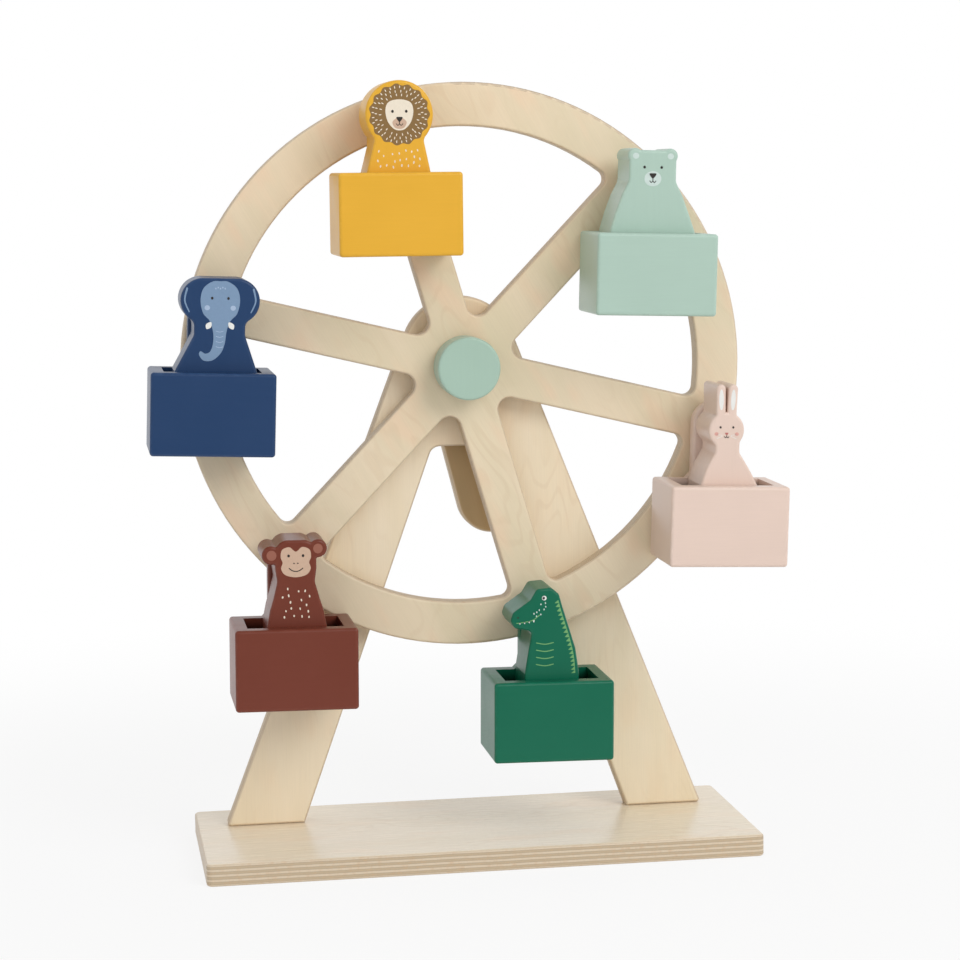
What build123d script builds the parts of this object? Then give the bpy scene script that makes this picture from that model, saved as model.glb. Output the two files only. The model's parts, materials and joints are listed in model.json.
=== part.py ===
from build123d import *

# Hand-cranked wooden ferris wheel toy, in millimetres.
# The origin is the middle of the base board's underside, +Z is up, +X is to the right of a
# viewer in front of the wheel, and -Y is towards that viewer. From front to back come the six
# cabins with their animals, the wheel, the stand and the crank.

import os
from math import cos, hypot, radians, sin

# ------------------------------------------------------------------ driving dimensions

base_width = 300.0
base_depth = 120.0
base_thick = 12.0
base_corner = 3.5
base_ease = 1.4

stand_front = 20.0  # from the middle of the base back to the stand's front face
stand_thick = 12.0
foot_inset = 16.0  # from the base's end to the foot
foot_width = 43.0
foot_corner = 1.5
arch_radius = 31.5
arch_above_axle = 6.0
opening_below_axle = 45.0
opening_top_half = 16.0
opening_corner = 6.0

axle_radius = 6.0
wheel_radius = 153.0
rim_width = 23.5
wheel_thick = 12.0
spoke_width = 22.0
spoke_count = 6
hub_fillet = 6.3
rim_fillet = 5.0
wheel_angle = 46.0  # the first spoke's direction at rest, in degrees up from +X
wheel_gap = 3.0  # between wheel and stand, and between stand and crank arm

hub_cap_radius = 17.0
hub_cap_thick = 18.0
hub_cap_cover = 6.0  # wood left in front of the axle's end
axle_washer_radius = 11.0
hub_washer_thick = 2.0

arm_half_width = 19.0
arm_thick = 12.0
crank_radius = 79.0
crank_angle = -76.0  # at rest, in degrees up from +X
knob_length = 36.0
knob_radius = 12.0
knob_neck = 8.0
knob_crown = 5.0  # how far the knob's end bulges
pin_radius = 3.0
pin_cover = 3.0  # wood left in front of the pin's end
pin_head_radius = 5.5
pin_head_thick = 2.5
pin_head_recess = 1.0

cabin_width = 65.0
cabin_height = 43.5
cabin_below_peg = 30.5  # from the peg down to the cabin's rim
cabin_clearance = 37.0  # between the base and the lowest cabin
cabin_tilts = (2.0, 0.3, 2.4, 0.8, 0.9, 2.2)  # at rest, in degrees clockwise from level
front_wall = 8.0
side_wall = 7.0
floor_thick = 13.5
slot_thick = 33.0  # from front to back
hanger_thick = 9.0
tab_radius = 12.0
tab_root = 3.0
peg_radius = 3.0
peg_head_radius = 5.5
peg_head_thick = 2.4
peg_washer_radius = 8.0
peg_washer_thick = 1.5

screw_radius = 2.0
screw_head_radius = 4.0
screw_length = 36.0
screw_spacing = 16.0
screw_inset = 5.0  # from the foot's middle inwards, because the legs lean
screw_slot = 1.0

# clearances
glue_gap = 0.02  # round pieces glued or pressed into a hole, on the radius
run_gap = 0.08  # shafts that turn in a hole, on the radius
screw_gap = 0.2  # a screw's shank in the base board, on the radius
face_gap = 0.3  # between faces that slide past each other
head_recess = 0.2  # how far screws and pegs lie below the surface
figure_gap = 0.5  # in front of an animal in its slot
figure_play = 2.0  # of an animal in its slot, front and back together
foot_play = 0.9  # beside the widest animal's foot
drawn_foot = 24.6  # half the widest foot for which the animals' outlines are drawn below

# eased edges
board_ease = 2.0
wheel_ease = 1.5
cabin_ease = 1.8
figure_ease = 1.6
small_ease = 0.6

# ------------------------------------------------------------------ sizes that follow

stand_back = stand_front + stand_thick
arm_front = stand_back + wheel_gap
arm_back = arm_front + arm_thick
wheel_back = stand_front - wheel_gap
wheel_front = wheel_back - wheel_thick
hub_cap_back = wheel_front - hub_washer_thick
axle_front = hub_cap_back - hub_cap_thick + hub_cap_cover + face_gap
knob_front = arm_back + face_gap
knob_back = knob_front + knob_length
hanger_back = wheel_front - peg_washer_thick - 2 * face_gap
hanger_front = hanger_back - hanger_thick
slot_front = hanger_front - slot_thick
cabin_front = slot_front - front_wall

foot_half = base_width / 2 - foot_inset
foot_middle = foot_half - foot_width / 2
wheel_inner = wheel_radius - rim_width
hang_radius = wheel_radius - rim_width / 2
axle_height = base_thick + cabin_clearance + cabin_height + cabin_below_peg + hang_radius
slot_half = cabin_width / 2 - side_wall
slot_depth = cabin_height - floor_thick
figure_thick = slot_thick - figure_play
figure_back = slot_front + figure_gap + figure_thick
foot_bottom = face_gap - slot_depth  # measured from the cabin's rim
widest_foot = slot_half - foot_play
animal_size = widest_foot / drawn_foot


def upright(back_y, at, tilt=0.0):
    """A standing sketch plane with its origin at (x, z), which extrudes forwards from back_y."""
    across = (cos(radians(tilt)), 0, -sin(radians(tilt)))
    return Plane(origin=(at[0], back_y, at[1]), x_dir=across, z_dir=(0, -1, 0))


def around_axle(radius, angle):
    """The x and z of a point at an angle around the axle."""
    return (radius * cos(radians(angle)), axle_height + radius * sin(radians(angle)))


def below(at, drop, tilt):
    """The x and z of a point straight below another one in a tilted cabin."""
    return (at[0] - drop * sin(radians(tilt)), at[1] - drop * cos(radians(tilt)))


def flat_edges(piece, axis, largest_bore=0.0):
    """The edges of a piece's two outer flat faces along an axis, without those of its bores."""
    faces = piece.faces().filter_by(axis).sort_by(axis)
    edges = faces[0].edges() + faces[-1].edges()
    return edges.filter_by(lambda edge: not (edge.is_closed and edge.radius < largest_bore))


axle_place = (0.0, axle_height)
knob_place = around_axle(crank_radius, crank_angle)
peg_places = [
    around_axle(hang_radius, wheel_angle + number * 360.0 / spoke_count)
    for number in range(spoke_count)
]
screw_places = [
    (side * (foot_middle - screw_inset) + offset * screw_spacing, stand_front + stand_thick / 2)
    for side in (-1, 1)
    for offset in (-0.5, 0.5)
]

os.makedirs("parts", exist_ok=True)

# ------------------------------------------------------------------ base board

with BuildPart() as base_board:
    with BuildSketch():
        RectangleRounded(base_width, base_depth, base_corner)
    extrude(amount=base_thick)
    fillet(flat_edges(base_board, Axis.Z), base_ease)
    with Locations(*[Location((x, y, 0), (180, 0, 0)) for x, y in screw_places]):
        CounterSinkHole(
            screw_radius + screw_gap,
            screw_head_radius + head_recess + glue_gap,
            depth=base_thick,
            counter_sink_angle=90,
        )
base_board.part.label = "base_board"
export_step(base_board.part, "parts/base_board.step")

# ------------------------------------------------------------------ stand

foot_level = base_thick - axle_height
with BuildPart() as stand_frame:
    with BuildSketch(upright(stand_back, axle_place)) as stand_outline:
        with BuildLine():
            CenterArc((0, arch_above_axle), arch_radius, 0, 360)
            Line((-foot_half, foot_level), (foot_half, foot_level))
        make_hull()
        Polygon(
            (foot_width - foot_half, foot_level),
            (foot_half - foot_width, foot_level),
            (opening_top_half, -opening_below_axle),
            (-opening_top_half, -opening_below_axle),
            mode=Mode.SUBTRACT,
        )
        corners = stand_outline.vertices()
        fillet(corners.filter_by(lambda v: abs(v.Y + opening_below_axle) < 0.01), opening_corner)
        corners = stand_outline.vertices().group_by(Axis.Y)[0]
        fillet(corners.filter_by(lambda v: abs(v.X) > foot_middle), foot_corner)
        Circle(axle_radius + run_gap, mode=Mode.SUBTRACT)
    extrude(amount=stand_thick)
    rims = flat_edges(stand_frame, Axis.Y, arch_radius)
    fillet(rims.filter_by(lambda edge: edge.center().Z > base_thick + 0.01), board_ease)
    with Locations(*[Location((x, y, base_thick), (180, 0, 0)) for x, y in screw_places]):
        Hole(screw_radius + glue_gap, depth=screw_length - base_thick)
stand_frame.part.label = "stand_frame"
export_step(stand_frame.part, "parts/stand_frame.step")

# ------------------------------------------------------------------ screws under the base

with BuildPart() as screw:
    with BuildSketch(Plane.XZ):
        with BuildLine():
            Polyline(
                (0, head_recess),
                (screw_head_radius, head_recess),
                (screw_radius, head_recess + screw_head_radius - screw_radius),
                (screw_radius, screw_length - 2 * screw_radius),
                (0, screw_length - face_gap),
                close=True,
            )
        make_face()
    revolve(axis=Axis.Z)
    with BuildSketch(Plane.XY.offset(head_recess)):
        Rectangle(2 * screw_head_radius - 2 * screw_slot, screw_slot)
        Rectangle(screw_slot, 2 * screw_head_radius - 2 * screw_slot)
    extrude(amount=screw_slot, mode=Mode.SUBTRACT)
with BuildPart() as stand_screws:
    with Locations(*[(x, y, 0) for x, y in screw_places]):
        add(screw.part)
stand_screws.part.label = "stand_screws"
export_step(stand_screws.part, "parts/stand_screws.step")

# ------------------------------------------------------------------ wheel, cut from one board

with BuildPart() as wheel:
    with BuildSketch(upright(wheel_back, axle_place)) as wheel_outline:
        Circle(wheel_radius)
        Circle(wheel_inner, mode=Mode.SUBTRACT)
        with PolarLocations(wheel_inner / 2, spoke_count, start_angle=wheel_angle):
            Rectangle(wheel_inner + rim_fillet, spoke_width)
        corners = wheel_outline.vertices()
        fillet(corners.filter_by(lambda v: hypot(v.X, v.Y) < wheel_inner / 2), hub_fillet)
        corners = wheel_outline.vertices()
        fillet(corners.filter_by(lambda v: abs(hypot(v.X, v.Y) - wheel_inner) < 1), rim_fillet)
        Circle(axle_radius + glue_gap, mode=Mode.SUBTRACT)
        with PolarLocations(hang_radius, spoke_count, start_angle=wheel_angle):
            Circle(peg_radius + glue_gap, mode=Mode.SUBTRACT)
    extrude(amount=wheel_thick)
    fillet(flat_edges(wheel, Axis.Y, wheel_inner), wheel_ease)
wheel.part.label = "wheel"
export_step(wheel.part, "parts/wheel.step")

# ------------------------------------------------------------------ axle and its washers

with BuildPart() as axle:
    with BuildSketch(upright(arm_back, axle_place)):
        Circle(axle_radius)
    extrude(amount=arm_back - axle_front)
    chamfer(flat_edges(axle, Axis.Y), small_ease)
axle.part.label = "axle"
export_step(axle.part, "parts/axle.step")


def make_washer(name, place, back_y, thick, radius, hole_radius):
    """A flat ring on a shaft."""
    with BuildPart() as washer:
        with BuildSketch(upright(back_y, place)):
            Circle(radius)
            Circle(hole_radius, mode=Mode.SUBTRACT)
        extrude(amount=thick)
    washer.part.label = name
    export_step(washer.part, f"parts/{name}.step")


axle_washer_thick = wheel_gap - 2 * face_gap
axle_bore = axle_radius + run_gap
for name, back_y, thick in (
    ("hub_washer", wheel_front, hub_washer_thick),
    ("wheel_washer", stand_front - face_gap, axle_washer_thick),
    ("crank_washer", arm_front - face_gap, axle_washer_thick),
):
    make_washer(name, axle_place, back_y, thick, axle_washer_radius, axle_bore)

# ------------------------------------------------------------------ painted hub cap

with BuildPart() as hub_cap:
    with BuildSketch(upright(hub_cap_back, axle_place)):
        Circle(hub_cap_radius)
    extrude(amount=hub_cap_thick)
    fillet(hub_cap.edges().sort_by(Axis.Y)[0], wheel_ease)
    fillet(hub_cap.edges().sort_by(Axis.Y)[-1], small_ease)
    with BuildSketch(upright(hub_cap_back, axle_place)):
        Circle(axle_radius + glue_gap)
    extrude(amount=hub_cap_thick - hub_cap_cover, mode=Mode.SUBTRACT)
hub_cap.part.label = "hub_cap"
export_step(hub_cap.part, "parts/hub_cap.step")

# ------------------------------------------------------------------ crank behind the stand

with BuildPart() as crank_arm:
    with BuildSketch(upright(arm_back, axle_place)):
        with PolarLocations(crank_radius / 2, 1, start_angle=crank_angle):
            SlotCenterToCenter(crank_radius, 2 * arm_half_width)
        Circle(axle_radius + glue_gap, mode=Mode.SUBTRACT)
    extrude(amount=arm_thick)
    fillet(flat_edges(crank_arm, Axis.Y, arm_half_width), board_ease)
    with BuildSketch(upright(arm_back, knob_place)):
        Circle(pin_radius + glue_gap)
    extrude(amount=arm_thick - pin_cover, mode=Mode.SUBTRACT)
crank_arm.part.label = "crank_arm"
export_step(crank_arm.part, "parts/crank_arm.step")

knob_x, knob_z = knob_place
crown_y = knob_back - knob_crown
pin_head_back = knob_back - pin_head_recess
with BuildPart() as crank_knob:
    with BuildSketch(Plane((knob_x, 0, knob_z))):
        with BuildLine():
            flank = Spline(
                (knob_neck, knob_front),
                (knob_radius, crown_y),
                tangents=[(0, 1), (0, 1)],
            )
            crown = EllipticalCenterArc((0, crown_y), knob_radius, knob_crown, arc_size=90)
            Polyline(crown @ 1, (0, knob_front), flank @ 0)
        make_face()
    revolve(axis=Axis((knob_x, 0, knob_z), (0, 1, 0)))
    with BuildSketch(upright(knob_back, knob_place)):
        Circle(pin_radius + run_gap)
    extrude(amount=knob_length, mode=Mode.SUBTRACT)
    with BuildSketch(upright(knob_back, knob_place)):
        Circle(pin_head_radius + face_gap)
    extrude(amount=pin_head_recess + pin_head_thick + face_gap, mode=Mode.SUBTRACT)
crank_knob.part.label = "crank_knob"
export_step(crank_knob.part, "parts/crank_knob.step")

with BuildPart() as crank_pin:
    with BuildSketch(upright(pin_head_back, knob_place)):
        Circle(pin_radius)
    extrude(amount=pin_head_back - arm_front - pin_cover - face_gap)
    with BuildSketch(upright(pin_head_back, knob_place)):
        Circle(pin_head_radius)
    extrude(amount=pin_head_thick)
    fillet(crank_pin.edges().sort_by(Axis.Y)[-1], small_ease)
crank_pin.part.label = "crank_pin"
export_step(crank_pin.part, "parts/crank_pin.step")

# ------------------------------------------------------------------ cabins and their pegs


def make_cabin(name, place, tilt):
    """A cabin's block: front, sides and floor around a slot that is open above and behind."""
    rim = upright(hanger_front, below(place, cabin_below_peg, tilt), tilt)
    with BuildPart() as cabin:
        with BuildSketch(rim):
            Rectangle(cabin_width, cabin_height, align=(Align.CENTER, Align.MAX))
        extrude(amount=hanger_front - cabin_front)
        fillet(cabin.edges().group_by(Axis.Y)[:-1], cabin_ease)
        with BuildSketch(rim):
            Rectangle(2 * slot_half, slot_depth, align=(Align.CENTER, Align.MAX))
        extrude(amount=slot_thick, mode=Mode.SUBTRACT)
    cabin.part.label = f"{name}_cabin"
    export_step(cabin.part, f"parts/{name}_cabin.step")


def make_hanger(name, place, tilt):
    """A cabin's back board, with the round-topped tab that hangs on the peg."""
    with BuildPart() as hanger:
        with BuildSketch(upright(hanger_back, place, tilt)) as outline:
            Circle(tab_radius)
            Rectangle(2 * tab_radius, cabin_below_peg, align=(Align.CENTER, Align.MAX))
            with Locations((0, -cabin_below_peg)):
                Rectangle(cabin_width, cabin_height, align=(Align.CENTER, Align.MAX))
            corners = outline.vertices()
            fillet(corners.filter_by(lambda v: abs(v.X) > cabin_width / 2 - 0.01), cabin_ease)
            corners = outline.vertices().filter_by(lambda v: v.Y < -tab_radius)
            chamfer(corners.filter_by(lambda v: abs(v.X) < tab_radius + 0.01), tab_root)
            Circle(peg_radius + run_gap, mode=Mode.SUBTRACT)
        extrude(amount=hanger_thick)
        back_rim = hanger.edges().group_by(Axis.Y)[-1]
        fillet(back_rim.filter_by(lambda edge: not edge.is_closed), cabin_ease)
        front_rim = hanger.edges().group_by(Axis.Y)[0]
        tab_level = below(place, (tab_radius + cabin_below_peg) / 2, tilt)[1]
        tab_rim = front_rim.filter_by(lambda edge: edge.center().Z > tab_level)
        fillet(tab_rim.filter_by(lambda edge: not edge.is_closed), cabin_ease)
        with BuildSketch(upright(hanger_front, place)):
            Circle(peg_head_radius + face_gap)
        extrude(amount=-(head_recess + peg_head_thick + face_gap), mode=Mode.SUBTRACT)
    hanger.part.label = f"{name}_hanger"
    export_step(hanger.part, f"parts/{name}_hanger.step")


def make_peg(name, place):
    """The headed peg, glued into the wheel's rim, that a cabin swings on."""
    head_front = hanger_front + head_recess
    with BuildPart() as peg:
        with BuildSketch(upright(head_front, place)):
            Circle(peg_radius)
        extrude(amount=head_front + head_recess - wheel_back)
        with BuildSketch(upright(head_front, place)):
            Circle(peg_head_radius)
        extrude(amount=-peg_head_thick)
        fillet(peg.edges().sort_by(Axis.Y)[0], small_ease)
    peg.part.label = f"{name}_peg"
    export_step(peg.part, f"parts/{name}_peg.step")


# ------------------------------------------------------------------ animals
# Each outline is drawn around the middle of the cabin's rim: a foot that stands in the slot,
# a body that tapers to the neck, and a head. A foot's inset is how much narrower it is, on
# each side, than the widest foot.


# The animals' outlines are drawn for drawn_foot, from the middle of the cabin's rim, and grow and
# shrink with the slot that holds them.


def sized(points):
    """Points of an outline, at the size that fits the slot."""
    return [(x * animal_size, y * animal_size) for x, y in points]


def draw_body(foot, sides):
    """A straight foot in the slot under a body that narrows in steps of (left, right, height)."""
    foot_left, foot_right = foot
    right_side = [(foot_right, 0.0)] + [(right, height) for left, right, height in sides]
    left_side = [(foot_left, 0.0)] + [(left, height) for left, right, height in sides]
    Polygon(
        (foot_left * animal_size, foot_bottom),
        (foot_right * animal_size, foot_bottom),
        *sized(right_side),
        *sized(reversed(left_side)),
    )


def add_round(outline, centre, radius, blend):
    """Join a round head or ear to the outline and blend the corners where they meet."""
    middle = sized([centre])[0]
    with Locations(middle):
        Circle(radius * animal_size)
    corners = outline.vertices().filter_by(
        lambda v: abs(hypot(v.X - middle[0], v.Y - middle[1]) - radius * animal_size) < 0.01
    )
    fillet(corners, blend * animal_size)


def add_slot(centre, length, height, angle):
    """Join a shape with two straight sides and round ends to the outline."""
    with Locations(Location((*sized([centre])[0], 0), (0, 0, angle))):
        SlotOverall(length * animal_size, height * animal_size)


def round_corners(outline, radius, low, high):
    """Round an outline's corners between two heights above the cabin's rim."""
    corners = outline.vertices().filter_by(lambda v: low < v.Y / animal_size < high)
    fillet(corners, radius * animal_size)


def draw_bear(outline):
    """A broad bear with a flat-topped head and a small round ear at each corner."""
    shoulders = ((-21.9, 18.3, 10.0), (-18.4, 14.4, 20.0), (-14.9, 10.7, 27.0), (-14.9, 10.7, 43.6))
    draw_body(foot=(-24.6, 22.0), sides=shoulders)
    round_corners(outline, 3.5, 40.0, 50.0)
    round_corners(outline, 7.0, 24.0, 30.0)
    add_round(outline, centre=(-11.6, 40.6), radius=4.0, blend=0.8)
    add_round(outline, centre=(7.4, 40.6), radius=4.0, blend=0.8)


def draw_lion(outline):
    """A lion whose round mane sits on a narrow body."""
    draw_body(foot=(-16.8, 16.8), sides=((-11.6, 12.6, 20.0),))
    add_round(outline, centre=(0.6, 29.8), radius=17.8, blend=4.0)


def draw_elephant(outline):
    """An elephant whose flat-topped head spreads into two large ears."""
    draw_body(foot=(-20.0, 23.0), sides=((-10.2, 16.4, 19.0), (-10.2, 16.4, 32.0)))
    add_slot(centre=(3.25, 37.0), length=41.2, height=23.5, angle=0)
    round_corners(outline, 4.5, 18.0, 28.0)


def draw_monkey(outline):
    """A monkey with a broad head and an ear at each side."""
    shoulders = ((-13.4, 14.9, 9.0), (-11.6, 13.0, 15.0), (-9.5, 10.4, 24.0))
    head = ((-10.6, 11.4, 31.0), (-10.6, 11.4, 46.2))
    draw_body(foot=(-15.2, 16.6), sides=shoulders + head)
    round_corners(outline, 7.0, 44.0, 50.0)
    round_corners(outline, 6.0, 8.0, 32.0)
    add_round(outline, centre=(-12.5, 38.2), radius=5.0, blend=1.0)
    add_round(outline, centre=(12.2, 41.6), radius=4.8, blend=1.0)


def draw_crocodile(outline):
    """A crocodile that sits upright and looks to the left, with a blunt snout."""
    back = [(14.8, 4.0), (12.9, 16.5), (5.8, 39.0), (3.8, 46.0), (-0.4, 49.6)]
    face = [(-8.2, 49.0), (-11.8, 43.0), (-21.2, 36.4), (-22.6, 32.0), (-20.4, 28.0), (-10.8, 26.4)]
    belly = [(-12.6, 16.5), (-14.8, 3.0)]
    Polygon(
        (-14.8 * animal_size, foot_bottom),
        (14.8 * animal_size, foot_bottom),
        *sized(back + face + belly),
    )
    round_corners(outline, 2.8, 2.0, 60.0)


def draw_rabbit(outline):
    """A rabbit with a small round head and two slim upright ears."""
    shoulders = ((-13.2, 13.8, 5.0), (-11.4, 10.9, 10.0), (-7.4, 6.0, 17.5), (-7.4, 6.0, 26.0))
    draw_body(foot=(-14.8, 16.4), sides=shoulders)
    add_round(outline, centre=(-1.6, 29.5), radius=9.8, blend=4.0)
    round_corners(outline, 3.0, 16.0, 19.0)
    add_slot(centre=(-5.0, 45.2), length=18.0, height=5.2, angle=91.5)
    add_slot(centre=(1.4, 45.2), length=18.0, height=5.2, angle=88.5)
    round_corners(outline, 1.5, 34.0, 38.5)


def make_figure(name, draw_outline, place, tilt):
    """A solid wooden animal whose foot stands in the cabin's slot."""
    rim = upright(figure_back, below(place, cabin_below_peg, tilt), tilt)
    with BuildPart() as figure:
        with BuildSketch(rim) as outline:
            draw_outline(outline)
        extrude(amount=figure_thick)
        fillet(flat_edges(figure, Axis.Y), figure_ease)
    figure.part.label = f"{name}_figure"
    export_step(figure.part, f"parts/{name}_figure.step")


animals = (
    ("bear", draw_bear),
    ("lion", draw_lion),
    ("elephant", draw_elephant),
    ("monkey", draw_monkey),
    ("crocodile", draw_crocodile),
    ("rabbit", draw_rabbit),
)
washer_back = wheel_front - face_gap
peg_bore = peg_radius + run_gap
for (name, draw_outline), place, tilt in zip(animals, peg_places, cabin_tilts):
    make_cabin(name, place, tilt)
    make_hanger(name, place, tilt)
    make_peg(name, place)
    make_washer(f"{name}_washer", place, washer_back, peg_washer_thick, peg_washer_radius, peg_bore)
    make_figure(name, draw_outline, place, tilt)
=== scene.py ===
import json
import math
import random

import bmesh
import bpy
from mathutils import Matrix, Vector


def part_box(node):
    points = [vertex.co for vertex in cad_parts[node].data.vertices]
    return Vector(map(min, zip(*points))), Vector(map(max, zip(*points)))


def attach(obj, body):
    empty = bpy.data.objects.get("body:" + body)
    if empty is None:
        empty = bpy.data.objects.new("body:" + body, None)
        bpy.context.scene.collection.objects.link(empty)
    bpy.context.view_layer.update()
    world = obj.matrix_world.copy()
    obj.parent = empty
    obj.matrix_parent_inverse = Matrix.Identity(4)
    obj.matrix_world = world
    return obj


# Finishes, printed faces, camera and light of a hand-cranked wooden ferris wheel toy. The pieces
# themselves come from the frame and keep their shapes: here they get their wood, paint and steel, and
# the animals get their faces, as thin layers of ink. Lengths named here are in millimetres unless they
# say otherwise. Colours are sRGB, from 0 to 255.

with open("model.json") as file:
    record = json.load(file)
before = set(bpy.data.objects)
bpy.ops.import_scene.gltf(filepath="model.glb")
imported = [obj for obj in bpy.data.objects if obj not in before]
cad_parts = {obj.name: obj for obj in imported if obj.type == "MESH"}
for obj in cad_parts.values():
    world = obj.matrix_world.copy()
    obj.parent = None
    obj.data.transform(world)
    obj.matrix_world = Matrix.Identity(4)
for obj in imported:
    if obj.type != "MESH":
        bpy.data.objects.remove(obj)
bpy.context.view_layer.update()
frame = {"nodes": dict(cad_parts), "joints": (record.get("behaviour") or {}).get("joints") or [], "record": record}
nodes = frame["nodes"]
record = frame["record"]
joints = {joint["name"]: joint for joint in frame["joints"]}
MM = 0.001

# sizes that the frame's pieces have, but don't state
BOARD_THICK = 12.0
STAND_FRONT = 20.0
WHEEL_FRONT = 5.0
ARM_FRONT = 35.0
CABIN_BELOW_PEG = 30.5  # from the peg down to the cabin's rim
SLOT_HALF = 25.5
SLOT_FRONT = -39.1
SLOT_BACK = -6.1


# ---------------------------------------------------------------- colour and node helpers

def linear(rgb):
    """sRGB 0..255 to linear RGBA."""
    shares = [value / 255.0 for value in rgb]
    decoded = [s / 12.92 if s <= 0.04045 else ((s + 0.055) / 1.055) ** 2.4 for s in shares]
    return (*decoded, 1.0)


class Tree:
    """The node tree of a material or a world, built by calls that take numbers or sockets.

    self.mm is the place on the surface in millimetres, in the frame that all pieces share.
    """

    def __init__(self, owner):
        owner.use_nodes = True
        self.owner = owner
        self.tree = owner.node_tree
        self.tree.nodes.clear()
        coords = self.tree.nodes.new("ShaderNodeTexCoord")
        self.normal = coords.outputs["Normal"]
        self.direction = coords.outputs["Generated"]
        self.mm = self.vector("SCALE", coords.outputs["Object"], scale=1.0 / MM)
        self.ray = self.tree.nodes.new("ShaderNodeLightPath").outputs

    def put(self, socket, value):
        if isinstance(value, bpy.types.NodeSocket):
            self.tree.links.new(value, socket)
        elif value is not None:
            if isinstance(value, tuple) and socket.type == "VECTOR":
                value = value[:3]
            socket.default_value = value

    def math(self, operation, a, b=None, c=None):
        n = self.tree.nodes.new("ShaderNodeMath")
        n.operation = operation
        for socket, value in zip(n.inputs, (a, b, c)):
            self.put(socket, value)
        return n.outputs[0]

    def vector(self, operation, a, b=None, scale=None):
        n = self.tree.nodes.new("ShaderNodeVectorMath")
        n.operation = operation
        self.put(n.inputs[0], a)
        if b is not None:
            self.put(n.inputs[1], b)
        if scale is not None:
            self.put(n.inputs["Scale"], scale)
        return n.outputs["Value"] if operation in ("DOT_PRODUCT", "LENGTH") else n.outputs[0]

    def combine(self, x, y, z):
        n = self.tree.nodes.new("ShaderNodeCombineXYZ")
        for socket, value in zip(n.inputs, (x, y, z)):
            self.put(socket, value)
        return n.outputs[0]

    def times(self, a, b):
        return self.math("MULTIPLY", a, b)

    def along(self, axis, vector=None):
        """How far a vector, or the place on the surface, reaches along an axis."""
        return self.vector("DOT_PRODUCT", vector or self.mm, axis)

    def noise(self, vector, detail=2.0, rough=0.5):
        n = self.tree.nodes.new("ShaderNodeTexNoise")
        self.put(n.inputs["Vector"], vector)
        n.inputs["Scale"].default_value = 1.0
        n.inputs["Detail"].default_value = detail
        n.inputs["Roughness"].default_value = rough
        return n.outputs["Fac"]

    def specks(self, per_mm, detail=2.0, rough=0.5, shift=None):
        """Noise that is as fine in every direction."""
        place = self.vector("SCALE", self.mm, scale=per_mm)
        if shift is not None:
            place = self.vector("ADD", place, shift)
        return self.noise(place, detail, rough)

    def streaks(self, lengthwise, crosswise, seed, detail=2.0, rough=0.5):
        """Noise drawn out along the grain. Both directions are (socket, waves per millimetre)."""
        return self.noise(self.combine(self.times(*lengthwise), self.times(*crosswise), seed), detail, rough)

    def range(self, value, low, high, to_low=0.0, to_high=1.0, smooth=True):
        n = self.tree.nodes.new("ShaderNodeMapRange")
        n.interpolation_type = "SMOOTHSTEP" if smooth else "LINEAR"
        for socket, v in zip(n.inputs, (value, low, high, to_low, to_high)):
            self.put(socket, v)
        return n.outputs[0]

    def mix(self, factor, a, b):
        """Colour a where the factor is 0 and colour b where it is 1."""
        n = self.tree.nodes.new("ShaderNodeMix")
        n.data_type = "RGBA"
        self.put(n.inputs["Factor"], factor)
        colour_a, colour_b = n.inputs[6:8]
        self.put(colour_a, a)
        self.put(colour_b, b)
        return n.outputs[2]

    def tint(self, colour, factor, amount_low, amount_high):
        """A colour brightened or darkened by a factor 0..1 between the two amounts."""
        amount = self.range(factor, 0.0, 1.0, amount_low, amount_high, smooth=False)
        return self.vector("SCALE", colour, scale=amount)

    def bump(self, height, strength, distance=0.0002):
        n = self.tree.nodes.new("ShaderNodeBump")
        n.inputs["Strength"].default_value = strength
        n.inputs["Distance"].default_value = distance
        self.put(n.inputs["Height"], height)
        return n.outputs["Normal"]

    def finish(self, colour, roughness, normal, metallic=0.0, specular=0.5):
        n = self.tree.nodes.new("ShaderNodeBsdfPrincipled")
        self.put(n.inputs["Base Color"], colour)
        self.put(n.inputs["Roughness"], roughness)
        self.put(n.inputs["Normal"], normal)
        n.inputs["Metallic"].default_value = metallic
        n.inputs["Specular IOR Level"].default_value = specular
        self.show("ShaderNodeOutputMaterial", n.outputs[0])
        return self.owner

    def shader(self, kind, colour, strength=None):
        n = self.tree.nodes.new(kind)
        n.inputs["Color"].default_value = colour
        if strength is not None:
            self.put(n.inputs["Strength"], strength)
        return n.outputs[0]

    def blend(self, factor, a, b):
        """Shader a where the factor is 0 and shader b where it is 1."""
        n = self.tree.nodes.new("ShaderNodeMixShader")
        for socket, value in zip(n.inputs, (factor, a, b)):
            self.put(socket, value)
        return n.outputs[0]

    def show(self, kind, shader):
        self.put(self.tree.nodes.new(kind).inputs[0], shader)


# ---------------------------------------------------------------- wood

BIRCH = {"face": (241, 223, 193), "warm": (244, 214, 182), "cool": (233, 217, 185)}
# painted light: the base's birch is brighter than the wheel's to make up for the weaker light on its top
BASE_BIRCH_PAINTED_LIGHT = {"face": (251, 237, 214), "warm": (252, 231, 203), "cool": (248, 234, 209)}
# painted light: the stand's birch is brighter than the wheel's to lift the shade cast on it by the wheel and
# cabins
STAND_BIRCH_PAINTED_LIGHT = {"face": (249, 233, 205), "warm": (248, 226, 194), "cool": (245, 228, 197)}
# painted shade: the crank arm's birch is darkened for the shade it sits in behind the stand
ARM_BIRCH_PAINTED_SHADE = {"face": (203, 175, 131), "warm": (205, 173, 127), "cool": (193, 165, 121)}
RING_BROWN = (205, 170, 128)
PORE_BROWN = (196, 163, 122)
CORNER_RUB_AND_SHADE_BROWN = (196, 166, 128)
PALE_LAYER = (226, 209, 184)
DARK_LAYER = (202, 182, 153)
LAYER_STREAK = (216, 180, 140)
GLUE_BROWN = (132, 106, 78)
LAYERS = 9


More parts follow.
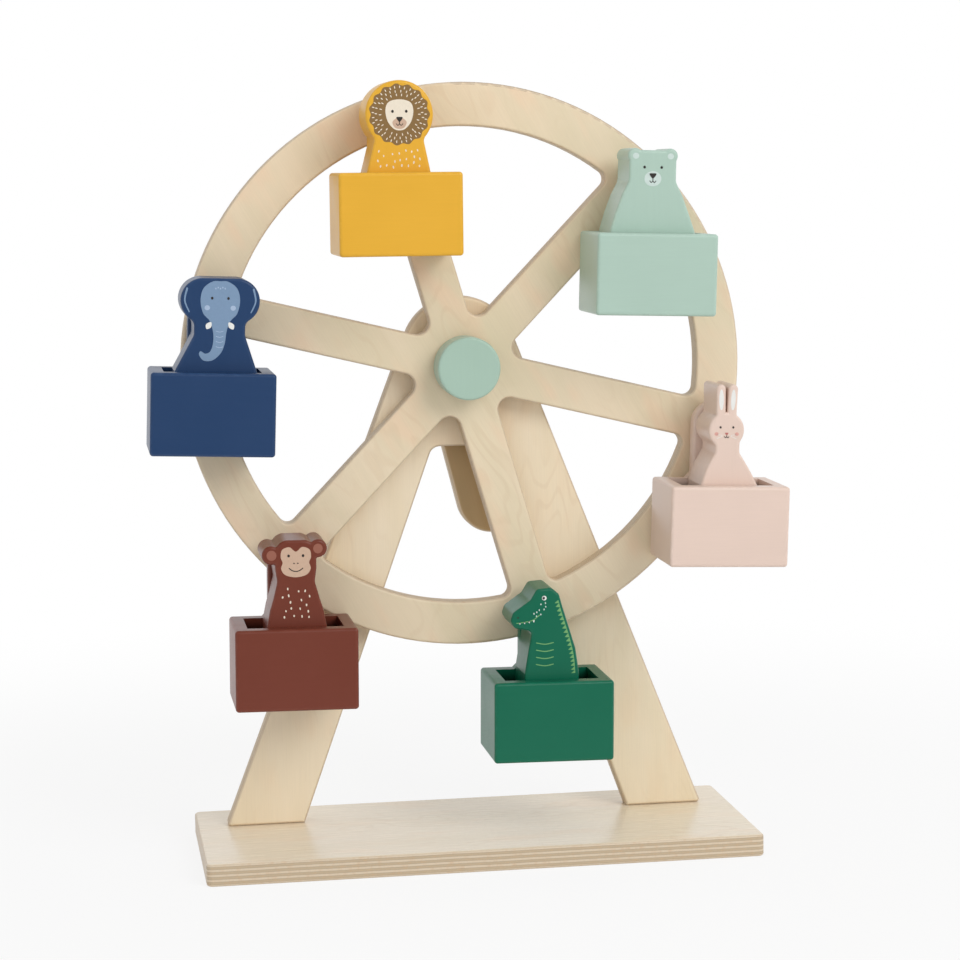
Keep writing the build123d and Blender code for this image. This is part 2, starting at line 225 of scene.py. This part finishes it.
def veneer_face(t, a, c, seed, tones, figure):
    """Colour, fibres and pores of a rotary-cut veneer, from places along and across its grain."""
    swirl = t.streaks((a, 0.011), (c, 0.03), seed)
    rings = t.range(t.math("SINE", t.times(swirl, 74.0)), 0.35, 1.0)
    fade = t.streaks((a, 0.012), (c, 0.02), seed + 9.0)
    rings = t.times(rings, t.range(fade, 0.42, 0.68))
    broad = t.streaks((a, 0.006), (c, 0.035), seed + 3.0, 3.0)
    blotch = t.streaks((a, 0.02), (c, 0.045), seed + 5.0)
    fibre = t.streaks((a, 0.035), (c, 1.5), seed, 3.0, 0.6)
    pores = t.range(t.streaks((a, 0.12), (c, 2.6), seed + 1.0), 0.63, 0.78)
    colour = t.mix(t.range(broad, 0.35, 0.65), linear(tones["cool"]), linear(tones["face"]))
    colour = t.mix(t.times(t.range(blotch, 0.5, 0.72), 0.7), colour, linear(tones["warm"]))
    colour = t.mix(t.times(rings, 0.22 * figure), colour, linear(RING_BROWN))
    colour = t.mix(t.times(pores, 0.12), colour, linear(PORE_BROWN))
    return t.tint(colour, fibre, 0.94, 1.05), fibre, pores


def layered_edge(t, a, c, level):
    """Colour of the layers along an edge, and the dark glue lines between them."""
    wobble = t.specks(0.03)
    level = t.math("ADD", level, t.times(t.math("SUBTRACT", wobble, 0.5), 0.35))
    layer = t.math("FLOOR", level)
    odd = t.math("MODULO", layer, 2.0)
    off_middle = t.math("ABSOLUTE", t.math("SUBTRACT", t.math("FRACT", level), 0.5))
    glue = t.range(t.math("SUBTRACT", 0.5, off_middle), 0.0, 0.11, 1.0, 0.0)
    run = t.streaks((a, 0.25), (c, 0.25), t.times(layer, 7.3), 3.0, 0.65)
    speckle = t.specks(1.6, rough=0.6)
    colour = t.mix(odd, linear(PALE_LAYER), linear(DARK_LAYER))
    colour = t.mix(t.times(t.range(run, 0.45, 0.75), 0.45), colour, linear(LAYER_STREAK))
    colour = t.tint(colour, speckle, 0.90, 1.08)
    return t.mix(t.times(glue, 0.6), colour, linear(GLUE_BROWN)), glue


def ply(name, grain, thick_axis, start, seed, tones, figure=0.7, roughness=0.42, relief=0.12):
    """Clear-lacquered birch plywood, whose layers are stacked along thick_axis from start."""
    t = Tree(bpy.data.materials.new(name))
    grain = Vector(grain).normalized()
    thick = Vector(thick_axis)
    a = t.along(grain)
    c = t.along(thick.cross(grain).normalized())
    depth = t.math("SUBTRACT", t.along(thick), start)
    facing = t.math("ABSOLUTE", t.vector("DOT_PRODUCT", t.normal, thick))
    on_face = t.range(facing, 0.72, 0.95)
    on_edge = t.math("SUBTRACT", 1.0, on_face)
    veneer, fibre, pores = veneer_face(t, a, c, seed, tones, figure)
    edge, glue = layered_edge(t, a, c, t.times(depth, LAYERS / BOARD_THICK))
    colour = t.mix(on_face, edge, veneer)
    # eased corners are a little darker: partly rubbed, partly painted shade
    corner_rub_and_shade = t.times(t.range(facing, 0.25, 0.6), t.range(facing, 0.8, 0.97, 1.0, 0.0))
    colour = t.mix(t.times(corner_rub_and_shade, 0.16), colour, linear(CORNER_RUB_AND_SHADE_BROWN))
    height = t.math("ADD", t.times(fibre, 0.6), t.times(pores, -0.5))
    height = t.math("SUBTRACT", height, t.times(t.times(glue, on_edge), 0.6))
    face_rough = t.range(fibre, 0.3, 0.7, roughness - 0.05, roughness + 0.06, smooth=False)
    rough = t.math("ADD", face_rough, t.times(on_edge, 0.14))
    return t.finish(colour, rough, t.bump(height, relief), specular=0.45)


def crossways(axis):
    """Two directions square to an axis and to each other."""
    axis = Vector(axis)
    side = Vector((0, 0, 1)) if abs(axis.z) < 0.5 else Vector((1, 0, 0))
    return side, axis.cross(side)


BEECH = (226, 194, 152)
BEECH_FLECK = (168, 124, 84)


def dowel(name, dark, seed):
    """Turned beech rod along Y: fine flecks along it and darker bands."""
    t = Tree(bpy.data.materials.new(name))
    axis = (0, 1, 0)
    side, other = crossways(axis)
    a, u, v = t.along(axis), t.along(side), t.along(other)
    fleck = t.streaks((a, 0.35), (u, 2.2), t.times(v, 2.2), rough=0.6)
    band = t.streaks((a, 0.02), (u, 0.5), seed)
    colour = t.mix(t.range(band, 0.35, 0.65), linear(BEECH), linear(dark))
    colour = t.mix(t.times(t.range(fleck, 0.56, 0.72), 0.45), colour, linear(BEECH_FLECK))
    rough = t.range(fleck, 0.3, 0.7, 0.45, 0.58, smooth=False)
    return t.finish(colour, rough, t.bump(fleck, 0.12))


# ---------------------------------------------------------------- paint and metal

def cabin_frame(animal):
    """Middle of a cabin's rim and its sideways and upward directions, in metres."""
    peg = joints[animal + "_level"]["pos_m"]
    up = Vector(joints[animal + "_lift"]["axis"])
    side = Vector((up.z, 0, -up.x))
    return Vector((peg[0], 0, peg[2])) - up * CABIN_BELOW_PEG * MM, side, up


def darken_slot(t, colour, animal):
    """Painted shade down inside the slot that holds the animal's foot: the paint there is darkened to a fifth."""
    seam = 0.2
    origin, side, up = cabin_frame(animal)
    local = t.vector("SUBTRACT", t.mm, tuple(origin / MM))
    x = t.math("ABSOLUTE", t.along(side, local))
    y = t.along((0, 1, 0), local)
    z = t.along(up, local)
    inside = t.times(t.math("LESS_THAN", x, SLOT_HALF + seam), t.range(z, -7.0, -0.5, 1.0, 0.0))
    behind_front = t.math("GREATER_THAN", y, SLOT_FRONT - seam)
    before_back = t.math("LESS_THAN", y, SLOT_BACK + seam)
    return t.tint(colour, t.times(inside, t.times(behind_front, before_back)), 1.0, 0.2)


def paint(name, rgb, seed, grain=(1, 0, 0), relief=0.09, cabin=None):
    """Satin paint over beech: faint grain, slightly uneven tone, edges paler in patches (partly rubbed paint,
    partly a painted highlight), and in a cabin painted shade down in its foot slot.
    """
    t = Tree(bpy.data.materials.new(name))
    side, other = crossways(grain)
    a, u, v = t.along(grain), t.along(side), t.along(other)
    fibre = t.streaks((a, 0.045), (u, 1.1), t.times(v, 1.1), 3.0, 0.6)
    peel = t.specks(0.55)
    cloud = t.specks(0.03, shift=(seed, seed, seed))
    colour = t.tint(linear(rgb), cloud, 0.965, 1.035)
    colour = t.tint(colour, fibre, 0.975, 1.025)
    split = t.tree.nodes.new("ShaderNodeSeparateXYZ")
    t.put(split.inputs[0], t.vector("ABSOLUTE", t.normal))
    flattest = t.math("MAXIMUM", t.math("MAXIMUM", split.outputs[0], split.outputs[1]), split.outputs[2])
    # rounded edges are paler in patches: partly rubbed paint, partly a painted highlight
    rounded = t.range(flattest, 0.90, 0.985, 1.0, 0.0)
    wear_and_highlight = t.times(rounded, t.range(t.specks(0.22, 4.0, 0.65), 0.42, 0.7))
    paler = tuple(min(255, value + 22) for value in rgb)
    colour = t.mix(t.times(wear_and_highlight, 0.32), colour, linear(paler))
    # painted shade down inside the cabin's foot slot
    if cabin:
        colour = darken_slot(t, colour, cabin)
    height = t.math("ADD", t.times(fibre, 0.7), t.times(peel, 0.3))
    evenness = t.math("ADD", t.times(cloud, 0.5), t.times(fibre, 0.5))
    rough = t.range(evenness, 0.35, 0.65, 0.30, 0.39, smooth=False)
    return t.finish(colour, rough, t.bump(height, relief), specular=0.35)


def printed(name, rgb, seed):
    """Screen-printed ink: thin, matt, slightly uneven."""
    t = Tree(bpy.data.materials.new(name))
    mottling = t.specks(0.9, 3.0, 0.6, (seed, 0.0, seed))
    fine = t.specks(5.0)
    colour = t.tint(linear(rgb), mottling, 0.94, 1.06)
    rough = t.range(fine, 0.3, 0.7, 0.44, 0.54, smooth=False)
    return t.finish(colour, rough, t.bump(fine, 0.05, 0.0001), specular=0.4)


def metal(name, rgb, roughness, seed, scratches_per_mm=6.0):
    """Zinc-plated steel: fine scratches and dulled patches."""
    t = Tree(bpy.data.materials.new(name))
    scratches = t.specks(scratches_per_mm, rough=0.6)
    patch = t.specks(0.5, 3.0, shift=(seed, seed, 0.0))
    dulled = tuple(int(value * 0.82) for value in rgb)
    colour = t.mix(t.range(patch, 0.35, 0.7), linear(rgb), linear(dulled))
    both = t.math("ADD", t.times(scratches, 0.5), t.times(patch, 0.5))
    rough = t.range(both, 0.3, 0.7, roughness - 0.07, roughness + 0.12, smooth=False)
    return t.finish(colour, rough, t.bump(scratches, 0.08, 0.0001), metallic=1.0)


ACROSS = (1, 0, 0)
BACK = (0, 1, 0)
UP = (0, 0, 1)
WHEEL_GRAIN = (0.5, 0.0, -0.87)
ARM_GRAIN = (0.24, 0.0, -0.97)
MINT_TURNED = (172, 200, 184)
PAINTS = {
    "mint": (178, 204, 190),
    "yellow": (235, 178, 52),
    "navy": (34, 65, 107),
    "brown": (119, 57, 41),
    "green": (2, 106, 78),
    "pink": (233, 209, 195),
}
coat = {
    "base_ply": ply("base_ply", ACROSS, UP, 0.0, 2.0, BASE_BIRCH_PAINTED_LIGHT, roughness=0.24, relief=0.04),
    "stand_ply": ply("stand_ply", UP, BACK, STAND_FRONT, 7.0, STAND_BIRCH_PAINTED_LIGHT, figure=0.6),
    "wheel_ply": ply("wheel_ply", WHEEL_GRAIN, BACK, WHEEL_FRONT, 4.0, BIRCH),
    "arm_ply": ply("arm_ply", ARM_GRAIN, BACK, ARM_FRONT, 12.0, ARM_BIRCH_PAINTED_SHADE),
    "dowel_beech": dowel("dowel_beech", (212, 176, 132), 3.0),
    "peg_beech": dowel("peg_beech", (210, 174, 130), 6.0),
    "paint_hub": paint("paint_hub", MINT_TURNED, 1.0, grain=UP),
    "paint_knob": paint("paint_knob", MINT_TURNED, 2.0, grain=BACK),
    "steel": metal("steel", (200, 200, 198), 0.3, 1.0),
    "screw_steel": metal("screw_steel", (205, 203, 198), 0.28, 4.0, 9.0),
    "washer_steel": metal("washer_steel", (198, 198, 196), 0.34, 7.0),
}
cabins = [part for part in record["subparts"] if part["node"].endswith("_cabin")]
riders = {part["material_slot"]: part["node"].removesuffix("_cabin") for part in cabins}
for index, (word, rgb) in enumerate(PAINTS.items()):
    slot = "paint_" + word
    coat[slot] = paint(slot, rgb, 3.0 + index, cabin=riders[slot])
    slot = "figure_" + word
    coat[slot] = paint(slot, rgb, 11.0 + index, grain=UP, relief=0.06)

for part in record["subparts"]:
    shape = nodes[part["node"]]
    shape.data.materials.clear()
    shape.data.materials.append(coat[part["material_slot"]])


# ---------------------------------------------------------------- printed faces

def turned(x, z, distance, angle):
    """The point at a distance from (x, z), in the direction of an angle in radians."""
    return (x + distance * math.cos(angle), z + distance * math.sin(angle))


def ellipse(x, z, rx, rz, turn=0.0, count=28):
    """Closed outline of an ellipse, turned counterclockwise by degrees."""
    tilt = math.radians(turn)
    outline = []
    for i in range(count):
        a = 2 * math.pi * i / count
        u, v = rx * math.cos(a), rz * math.sin(a)
        across = u * math.cos(tilt) - v * math.sin(tilt)
        along = u * math.sin(tilt) + v * math.cos(tilt)
        outline.append((x + across, z + along))
    return outline


def between(p, t):
    """The point at t, from 0 to 1, between the second and third of four points of a smooth curve."""
    straight = (p[2] - p[0]) * t
    bend = (2 * p[0] - 5 * p[1] + 4 * p[2] - p[3]) * t * t
    twist = (3 * p[1] - p[0] - 3 * p[2] + p[3]) * t ** 3
    return 0.5 * (2 * p[1] + straight + bend + twist)


def curve_through(points, closed, steps=8):
    """Smooth curve through points."""
    n = len(points)
    curve = []
    for i in range(n if closed else n - 1):
        near = [i + k if closed else min(max(i + k, 0), n - 1) for k in (-1, 0, 1, 2)]
        four = [Vector(points[k % n]) for k in near]
        curve += [tuple(between(four, k / steps)) for k in range(steps)]
    if not closed:
        curve.append(points[-1])
    return curve


def shifted(x, z, *points):
    """Points that are measured from (x, z)."""
    return [(x + across, z + up) for across, up in points]


def blob(*points):
    """Closed smooth outline through points."""
    return curve_through(list(points), True)


def round_end(centre, start):
    """The points of a half circle about a line's end, from a point beside it, clockwise."""
    x, z = centre
    angle = math.atan2(start[1] - z, start[0] - x)
    half_width = math.hypot(start[0] - x, start[1] - z)
    return [turned(x, z, half_width, angle - math.pi * k / 6) for k in range(1, 6)]


def stroke(points, start_width, end_width=None):
    """Closed outline of a brush line through points, with round ends."""
    end_width = start_width if end_width is None else end_width
    line = curve_through(points, False)
    last = len(line) - 1
    left, right = [], []
    for i, (x, z) in enumerate(line):
        before, after = line[max(i - 1, 0)], line[min(i + 1, last)]
        dx, dz = after[0] - before[0], after[1] - before[1]
        size = math.hypot(dx, dz) or 1.0
        half = 0.5 * (start_width + (end_width - start_width) * i / last)
        left.append((x - dz / size * half, z + dx / size * half))
        right.append((x + dz / size * half, z - dx / size * half))
    return left + round_end(line[-1], left[-1]) + right[::-1] + round_end(line[0], right[0])


INKS = {
    "cream": (240, 228, 208),
    "white": (238, 238, 234),
    "dark": (50, 45, 42),
    "tan": (208, 176, 152),
    "rust": (156, 98, 80),
    "mane": (140, 108, 62),
    "sky": (126, 153, 184),
    "pale_sky": (170, 190, 216),
    "leaf": (118, 176, 112),
    "rose": (228, 172, 160),
    "dew": (206, 222, 216),
    "clay": (196, 120, 112),
}
ink = {name: printed("ink_" + name, rgb, 0.7 * i) for i, (name, rgb) in enumerate(INKS.items())}
FRONT_GAP = 0.05  # from the animal's face to the first layer of ink
LAYER_STEP = 0.035
INK_DEPTH = 0.1  # how far ink reaches behind that face


def add_plate(bm, outline, place, front, back):
    """A closed flat plate between two depths, with an outline that place puts on the animal."""
    rings = []
    for y in (front, back):
        spots = [place(x, z) for x, z in outline]
        rings.append([bm.verts.new((at.x, y, at.z)) for at in spots])
    bm.faces.new(rings[0])
    bm.faces.new(rings[1][::-1])
    for i in range(len(outline)):
        k = (i + 1) % len(outline)
        bm.faces.new((rings[0][k], rings[0][i], rings[1][i], rings[1][k]))


def print_on(animal, shapes):
    """Print shapes of (ink, layer, outline) on an animal, as one thin mesh for each ink.

    An outline's points are measured from the middle of the cabin's rim.
    """
    origin, side, up = cabin_frame(animal)
    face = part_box(animal + "_figure")[0].y

    def place(x, z):
        return origin + side * x * MM + up * z * MM

    for name in sorted({shape[0] for shape in shapes}):
        bm = bmesh.new()
        for colour, layer, outline in shapes:
            if colour == name:
                front = face - (FRONT_GAP + LAYER_STEP * layer) * MM
                add_plate(bm, outline, place, front, face + INK_DEPTH * MM)
        bmesh.ops.recalc_face_normals(bm, faces=bm.faces)
        bmesh.ops.triangulate(bm, faces=[f for f in bm.faces if len(f.verts) > 4])
        mesh = bpy.data.meshes.new(f"{animal}_print_{name}")
        bm.to_mesh(mesh)
        bm.free()
        mesh.materials.append(ink[name])
        piece = bpy.data.objects.new(mesh.name, mesh)
        bpy.context.scene.collection.objects.link(piece)
        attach(piece, animal + "_figure")


def eyes(middle, apart, z, size):
    """Two dark dots."""
    return [("dark", 3, ellipse(middle + side * apart, z, size, size * 1.1)) for side in (-1, 1)]


def nose(x, z, width, height, colour="dark"):
    """Rounded triangle with its point down."""
    w, h = width / 2, height / 2
    brow = ((x - w * 0.92, z + h), (x, z + h * 1.12), (x + w * 0.92, z + h))
    tip = ((x + w * 0.75, z + h * 0.1), (x, z - h), (x - w * 0.75, z + h * 0.1))
    return (colour, 3, blob(*brow, *tip))


def smile(x, z, width, drop, line=0.38):
    """Two small curves under the nose."""
    left = [(x - width / 2, z), (x - width / 4, z - drop), (x, z)]
    right = [(x, z), (x + width / 4, z - drop), (x + width / 2, z)]
    return [("dark", 3, stroke(left, line)), ("dark", 3, stroke(right, line))]


def flecks(colour, seed, count, left, right, bottom, top, size=0.42, gap=2.3):
    """Loose scatter of short upright dabs, kept apart by a gap that shrinks as it fills."""
    rng = random.Random(seed)
    spots = []
    while len(spots) < count:
        z = rng.uniform(bottom, top)
        share = (z - bottom) / (top - bottom)
        x = rng.uniform(left(share), right(share))
        gap -= 0.002
        if all(math.hypot(x - a, z - b) > gap for a, b in spots):
            spots.append((x, z))
    dabs = []
    for x, z in spots:
        rx = size * rng.uniform(0.8, 1.1)
        rz = size * rng.uniform(1.3, 1.9)
        dabs.append((colour, 0, ellipse(x, z, rx, rz, rng.uniform(-16, 16), 12)))
    return dabs


def mirrored(x, z, *half):
    """Closed smooth outline about (x, z), from points down its right side that the left repeats."""
    left = [(-across, up) for across, up in reversed(half) if across]
    return blob(*shifted(x, z, *half, *left))


def lion():
    """A scalloped mane with rows of dashes around a small face, and flecks on the chest."""
    cx, cz = 0.6, 29.8
    rim = []
    for i in range(180):
        a = 2 * math.pi * i / 180
        rim.append(turned(cx, cz, 15.5 + 0.55 * math.cos(15 * a), a))
    shapes = [("mane", 0, rim)]
    rng = random.Random(5)
    for count, radius, offset in ((22, 10.3, 0.0), (27, 12.2, 0.4), (33, 14.0, 0.1)):
        for i in range(count):
            a = 2 * math.pi * (i + offset) / count + rng.uniform(-0.02, 0.02)
            dash = turned(cx, cz, radius + rng.uniform(-0.25, 0.25), a)
            shapes.append(("cream", 1, ellipse(*dash, 0.72, 0.27, math.degrees(a), 12)))
    cheek = ((7.3, 2.2), (6.2, -3.4), (3.2, -7.2))
    shapes.append(("cream", 1, mirrored(cx, cz, (0, 7.8), (5.6, 6.4), *cheek, (0, -8.2))))
    shapes.append(("tan", 2, mirrored(cx, cz, (0, -1.4), (3.6, -3.6), (2.6, -6.6), (0, -7.4))))
    shapes += eyes(cx, 3.6, cz + 1.6, 0.7)
    shapes.append(nose(cx, cz - 2.6, 3.4, 2.4))
    shapes.append(("dark", 3, stroke([(cx, cz - 3.6), (cx, cz - 4.8)], 0.4)))
    shapes += smile(cx, cz - 4.8, 3.4, 0.8)
    shapes += flecks("cream", 12, 20, lambda s: 2.0 * s - 12.5, lambda s: 13.0 - 2.0 * s, 2.6, 11.4, gap=3.0)
    return shapes


def bear():
    """A pale muzzle and pale ears."""
    x = -2.1
    shapes = [("dew", 0, ellipse(x, 28.6, 4.6, 4.0))]
    shapes += [("dew", 0, ellipse(ear, 40.5, 1.7, 1.6)) for ear in (-11.5, 7.3)]
    shapes += eyes(x, 4.6, 34.6, 0.66)
    shapes.append(nose(x, 30.0, 3.8, 2.6))
    shapes.append(("dark", 3, stroke([(x, 28.9), (x, 27.4)], 0.4)))
    shapes += smile(x, 27.4, 3.2, 0.8)
    return shapes


def elephant():
    """A pale face that runs down into a curled trunk, with tusks, cheeks and ear lines."""
    x = 3.2
    brow = ((-10.2, 37.5), (-8.6, 43.6), (-4.0, 47.0), (0, 47.2), (4.0, 47.0), (8.6, 43.6), (10.2, 37.5))
    down = ((8.8, 30.6), (5.2, 26.4), (3.4, 21.0), (2.6, 15.0), (0.6, 10.0), (-3.6, 6.2), (-8.2, 6.0))
    tip = ((-10.6, 9.0), (-9.8, 10.8), (-7.4, 9.6), (-5.0, 10.6))
    back_up = ((-3.6, 14.2), (-3.4, 20.0), (-5.2, 26.4), (-8.8, 30.6))
    shapes = [("sky", 0, blob(*shifted(x, 0, *brow, *down, *tip, *back_up)))]
    for side in (-1, 1):
        ear = [(x + side * 17.2, 43.2), (x + side * 18.3, 37.0), (x + side * 16.0, 31.2)]
        tusk = [(x + side * out, z) for out, z in ((4.6, 26.0), (7.2, 24.8), (6.9, 22.4), (4.6, 23.4))]
        shapes.append(("sky", 0, stroke(ear, 1.0, 0.6)))
        shapes.append(("white", 2, blob(*tusk)))
        shapes.append(("pale_sky", 1, ellipse(x + side * 6.7, 33.4, 1.4, 1.3)))
    shapes += eyes(x, 4.2, 38.4, 0.66)
    for k in range(4):
        fold = shifted(x, -2.7 * k, (-1.9, 21.4), (-0.1, 20.9), (1.7, 21.4))
        shapes.append(("pale_sky", 1, stroke(fold, 0.3)))
    for k in range(5):
        shapes.append(("pale_sky", 1, ellipse(x - 2.4 + 1.2 * k, 43.4 + 0.5 * (k % 2), 0.32, 0.5, 0, 12)))
    return shapes


def monkey():
    """A heart-topped face with a wide smile, rust ears and flecks on the chest."""
    x = 0.4
    shapes = [("rust", 0, ellipse(-12.4, 38.3, 2.6, 2.7)), ("rust", 0, ellipse(12.1, 41.6, 2.5, 2.6))]
    temple = ((3.4, 42.6), (7.2, 41.2), (8.0, 37.4), (7.0, 34.4))
    jaw = ((7.8, 31.2), (5.6, 27.9))
    shapes.append(("tan", 0, mirrored(x, 0, (0, 40.2), *temple, *jaw, (0, 26.6))))
    shapes += eyes(x, 3.8, 38.0, 0.68)
    shapes += [("dark", 3, ellipse(x + side * 1.0, 34.0, 0.42, 0.34)) for side in (-1, 1)]
    mouth = shifted(x, 0, (-3.6, 31.4), (-1.8, 30.1), (0, 29.7), (1.8, 30.1), (3.6, 31.4))
    shapes.append(("dark", 3, stroke(mouth, 0.45)))
    shapes += flecks("cream", 4, 17, lambda s: -6.4 - 0.6 * s, lambda s: 7.6 + 0.6 * s, 5.0, 20.5, gap=3.4)
    return shapes


def crocodile():
    """A toothed jaw, a saw-edged back and lines across the belly."""
    shapes = []
    ridge = ((3.2, 43.0), (5.0, 36.6), (7.2, 29.6), (9.4, 22.6), (11.2, 15.6), (12.2, 9.2), (12.6, 3.2))
    path = curve_through(ridge, False, 6)
    for i in range(0, len(path) - 2, 2):
        (ax, az), (bx, bz) = path[i], path[i + 2]
        point = ((ax + bx) / 2 - 2.2, (az + bz) / 2 - 0.9)
        shapes.append(("leaf", 0, [(ax, az), (bx, bz), point]))
    shapes.append(("white", 1, ellipse(-4.4, 44.2, 1.25, 1.25)))
    shapes.append(("dark", 3, ellipse(-4.7, 44.2, 0.7, 0.75)))
    shapes.append(("dark", 3, ellipse(-18.6, 33.9, 0.5, 0.4, 20)))
    lips = [(-19.4, 30.9), (-15.0, 31.4), (-10.6, 32.4), (-7.0, 35.0)]
    shapes.append(("leaf", 1, stroke(lips, 0.45)))
    for k in range(4):
        tooth = shifted(2.5 * k - 17.6, 31.2 + 0.35 * k, (-0.6, 0), (0.6, 0.1), (0.1, -1.2))
        shapes.append(("white", 1, tooth))
    shapes += flecks("dew", 9, 9, lambda s: 5.0 * s - 11.0, lambda s: 4.0 * s - 6.2, 34.4, 41.6, 0.34, 2.0)
    for k in range(4):
        fold = shifted(0, -3.9 * k, (-8.6, 20.0), (-3.8, 19.2), (0.6, 20.0))
        shapes.append(("leaf", 0, stroke(fold, 0.5)))
    return shapes


def rabbit():
    """White inside the ears, rosy cheeks, whiskers and a small clay nose."""
    x = -1.6
    shapes = [("white", 0, ellipse(-5.05, 46.0, 1.25, 5.6, 1.5))]
    shapes.append(("white", 0, ellipse(1.45, 46.0, 1.25, 5.6, -1.5)))
    shapes += eyes(x, 3.5, 31.2, 0.56)
    for side in (-1, 1):
        shapes.append(("rose", 0, ellipse(x + side * 5.6, 27.6, 1.1, 0.95)))
        for k in (-1, 1):
            whisker = [(x + side * 2.4, 26.6 + 0.3 * k), (x + side * 5.4, 26.2 + 1.1 * k)]
            shapes.append(("white", 0, stroke(whisker, 0.22)))
    shapes.append(nose(x, 27.6, 1.9, 1.3, "clay"))
    shapes.append(("dark", 3, stroke([(x, 27.0), (x, 26.2)], 0.28)))
    shapes += smile(x, 26.2, 2.6, 0.6, 0.3)
    return shapes


for draw in (lion, bear, elephant, monkey, crocodile, rabbit):
    print_on(draw.__name__, draw())


# ---------------------------------------------------------------- camera

IMAGE_WIDTH = 960
SENSOR_WIDTH = 36.0


def look(position, yaw, pitch, roll, focal_px):
    """The camera at a place in millimetres, turned by degrees, with its focal length in pixels."""
    yaw, pitch, roll = (math.radians(angle) for angle in (yaw, pitch, roll))
    level = math.cos(pitch)
    forward = Vector((math.sin(yaw) * level, math.cos(yaw) * level, -math.sin(pitch)))
    flat_right = Vector((math.cos(yaw), -math.sin(yaw), 0))
    flat_up = flat_right.cross(forward)
    right = math.cos(roll) * flat_right + math.sin(roll) * flat_up
    up = -math.sin(roll) * flat_right + math.cos(roll) * flat_up
    data = bpy.data.cameras.new("camera")
    data.sensor_fit = "HORIZONTAL"
    data.sensor_width = SENSOR_WIDTH
    data.lens = focal_px * SENSOR_WIDTH / IMAGE_WIDTH
    data.clip_start = 0.05
    data.clip_end = 100.0
    camera = bpy.data.objects.new("camera", data)
    bpy.context.scene.collection.objects.link(camera)
    turn = Matrix((right, up, -forward)).transposed().to_4x4()
    camera.matrix_world = Matrix.Translation(Vector(position) * MM) @ turn
    bpy.context.scene.camera = camera


look((-215.92, -1426.94, 371.26), 8.88, 6.67, -0.90, 2670.79)


# ---------------------------------------------------------------- floor, room and light

WHITE = (1.0, 1.0, 1.0, 1.0)
FLOOR_WHITE = (0.9, 0.9, 0.9, 1.0)
FLOOR_HALF = 12.0  # metres
FLOOR_DROP = 0.0002  # metres below the object
NEAR_GLOW = 0.84  # share of plain white in the floor near the object, where shadows show
FRONT_GLOSS = 0.25  # how bright the room in front of the object is in its gloss
ROOM_LIGHT = 0.58
LIGHT_AIM = (0.0, 0.0, 0.2)


def make_floor():
    """A pale floor that keeps the object's shadow and is plain white further out."""
    r = FLOOR_HALF
    mesh = bpy.data.meshes.new("floor")
    mesh.from_pydata([(-r, -r, 0), (r, -r, 0), (r, r, 0), (-r, r, 0)], [], [(0, 1, 2, 3)])
    floor = bpy.data.objects.new("floor", mesh)
    floor.location.z = -FLOOR_DROP
    bpy.context.scene.collection.objects.link(floor)
    t = Tree(bpy.data.materials.new("floor_white"))
    seen = t.math("MAXIMUM", t.ray["Is Camera Ray"], t.ray["Is Glossy Ray"])
    seen = t.math("MAXIMUM", seen, t.ray["Is Transmission Ray"])
    share = t.times(seen, t.range(t.vector("LENGTH", t.mm), 240.0, 800.0, NEAR_GLOW, 1.0))
    dimming = t.range(t.along(BACK), -700.0, -100.0, FRONT_GLOSS - 1.0, 0.0)
    strength = t.math("MULTIPLY_ADD", dimming, t.ray["Is Glossy Ray"], 1.0)
    matt = t.shader("ShaderNodeBsdfDiffuse", FLOOR_WHITE)
    glow = t.shader("ShaderNodeEmission", WHITE, strength)
    t.show("ShaderNodeOutputMaterial", t.blend(share, matt, glow))
    mesh.materials.append(t.owner)


def make_room():
    """Even light from all round. Gloss sees white behind the object and a dimmer room before it."""
    world = bpy.data.worlds.new("studio")
    bpy.context.scene.world = world
    t = Tree(world)
    brightness = t.range(t.along(BACK, t.direction), -0.45, 0.15, FRONT_GLOSS, 1.0)
    even = t.shader("ShaderNodeBackground", WHITE, ROOM_LIGHT)
    mirrored_room = t.shader("ShaderNodeBackground", WHITE, brightness)
    white = t.shader("ShaderNodeBackground", WHITE, 1.0)
    seen = t.math("MAXIMUM", t.ray["Is Camera Ray"], t.ray["Is Transmission Ray"])
    lit = t.blend(t.ray["Is Glossy Ray"], even, mirrored_room)
    t.show("ShaderNodeOutputWorld", t.blend(seen, lit, white))


def softbox(name, place, size, power):
    """A square lamp at a place in metres, aimed at the object."""
    data = bpy.data.lights.new(name, "AREA")
    data.shape = "SQUARE"
    data.size = size
    data.energy = power
    lamp = bpy.data.objects.new(name, data)
    lamp.location = place
    lamp.rotation_euler = (Vector(LIGHT_AIM) - Vector(place)).to_track_quat("-Z", "Y").to_euler()
    bpy.context.scene.collection.objects.link(lamp)


make_floor()
make_room()
softbox("key", place=(1.2, -2.1, 1.65), size=1.5, power=29.0)
softbox("fill", place=(-1.5, -1.9, 1.1), size=1.6, power=5.0)
bpy.context.scene.view_settings.view_transform = "Standard"
